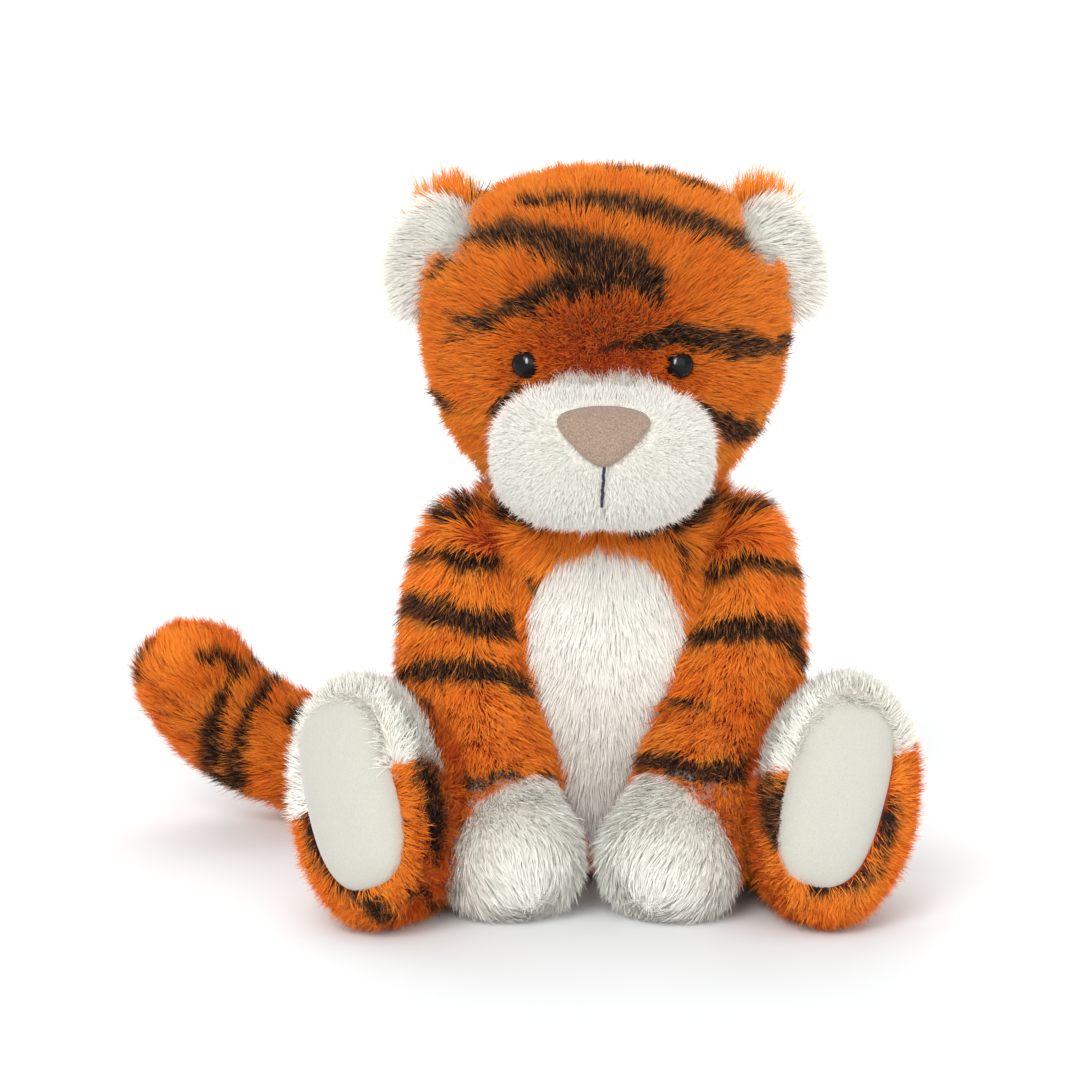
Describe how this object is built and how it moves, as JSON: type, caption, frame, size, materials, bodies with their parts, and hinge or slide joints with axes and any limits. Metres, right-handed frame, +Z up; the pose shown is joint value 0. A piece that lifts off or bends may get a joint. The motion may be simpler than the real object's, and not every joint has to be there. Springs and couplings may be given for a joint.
{
  "type": "plush tiger",
  "caption": "Seated striped tiger soft toy with sewn fur skins, stuffed head, limbs and curved tail, domed safety eyes and a bean-weighted seat.",
  "frame": {"origin": "on the floor under the middle of the body, at the centre of the flat seat", "axes": "+Z up, the face looks along -Y, +X to the viewer's right"},
  "size_m": [0.2607, 0.1733, 0.235],
  "materials": {
    "orange_plush": "long orange plush with dark stripes",
    "cream_plush": "long cream plush",
    "cream_velour": "short smooth velour",
    "nose_velour": "short taupe velour",
    "mouth_thread": "dark embroidery thread",
    "eye_plastic": "glossy black",
    "washer_nylon": "natural nylon",
    "stuffing": "polyester fibre fill",
    "bean_cloth": "plain cloth bag of plastic beans"
  },
  "bodies": {
    "torso": {"torso_skin": "orange_plush", "bib_panel": "cream_plush", "torso_stuffing": "stuffing", "bean_bag": "bean_cloth"},
    "head": {"head_skin": "orange_plush", "muzzle_skin": "cream_plush", "nose_patch": "nose_velour", "mouth_stitch": "mouth_thread", "eye_left": "eye_plastic", "eye_right": "eye_plastic", "eye_washer_left": "washer_nylon", "eye_washer_right": "washer_nylon", "head_stuffing": "stuffing", "muzzle_stuffing": "stuffing"},
    "ear_left": {"ear_back_left": "orange_plush", "ear_lining_left": "cream_plush"},
    "ear_right": {"ear_back_right": "orange_plush", "ear_lining_right": "cream_plush"},
    "arm_left": {"arm_skin_left": "orange_plush", "paw_left": "cream_plush", "arm_stuffing_left": "stuffing"},
    "arm_right": {"arm_skin_right": "orange_plush", "paw_right": "cream_plush", "arm_stuffing_right": "stuffing"},
    "leg_left": {"leg_skin_left": "orange_plush", "toe_cap_left": "cream_plush", "sole_left": "cream_velour", "leg_stuffing_left": "stuffing"},
    "leg_right": {"leg_skin_right": "orange_plush", "toe_cap_right": "cream_plush", "sole_right": "cream_velour", "leg_stuffing_right": "stuffing"},
    "tail": {"tail_skin": "orange_plush", "tail_stuffing": "stuffing"}
  },
  "joints": [
    {"name": "head_turn", "type": "hinge", "parent": "torso", "child": "head", "pos_m": [0, 0, 0.127], "axis": [0, 0, 1], "range_deg": [-30, 30]},
    {"name": "ear_fold_left", "type": "hinge", "parent": "head", "child": "ear_left", "pos_m": [-0.05436, 0.002, 0.20702], "axis": [0.4772, 0, 0.8788], "range_deg": [-15, 15]},
    {"name": "ear_fold_right", "type": "hinge", "parent": "head", "child": "ear_right", "pos_m": [0.05436, 0.002, 0.20702], "axis": [0.4772, 0, -0.8788], "range_deg": [-15, 15]},
    {"name": "arm_raise_left", "type": "hinge", "parent": "torso", "child": "arm_left", "pos_m": [-0.0405, -0.006, 0.108], "axis": [-1, 0, 0], "range_deg": [0, 30]},
    {"name": "arm_raise_right", "type": "hinge", "parent": "torso", "child": "arm_right", "pos_m": [0.0405, -0.006, 0.108], "axis": [-1, 0, 0], "range_deg": [0, 30]},
    {"name": "leg_spread_left", "type": "hinge", "parent": "torso", "child": "leg_left", "pos_m": [-0.029, 0.002, 0.0212], "axis": [0, 0, -1], "range_deg": [0, 12]},
    {"name": "leg_spread_right", "type": "hinge", "parent": "torso", "child": "leg_right", "pos_m": [0.029, 0.002, 0.0212], "axis": [0, 0, 1], "range_deg": [0, 12]},
    {"name": "tail_wag", "type": "hinge", "parent": "torso", "child": "tail", "pos_m": [-0.008, 0.04, 0.0192], "axis": [0, 0, -1], "range_deg": [0, 60]}
  ]
}
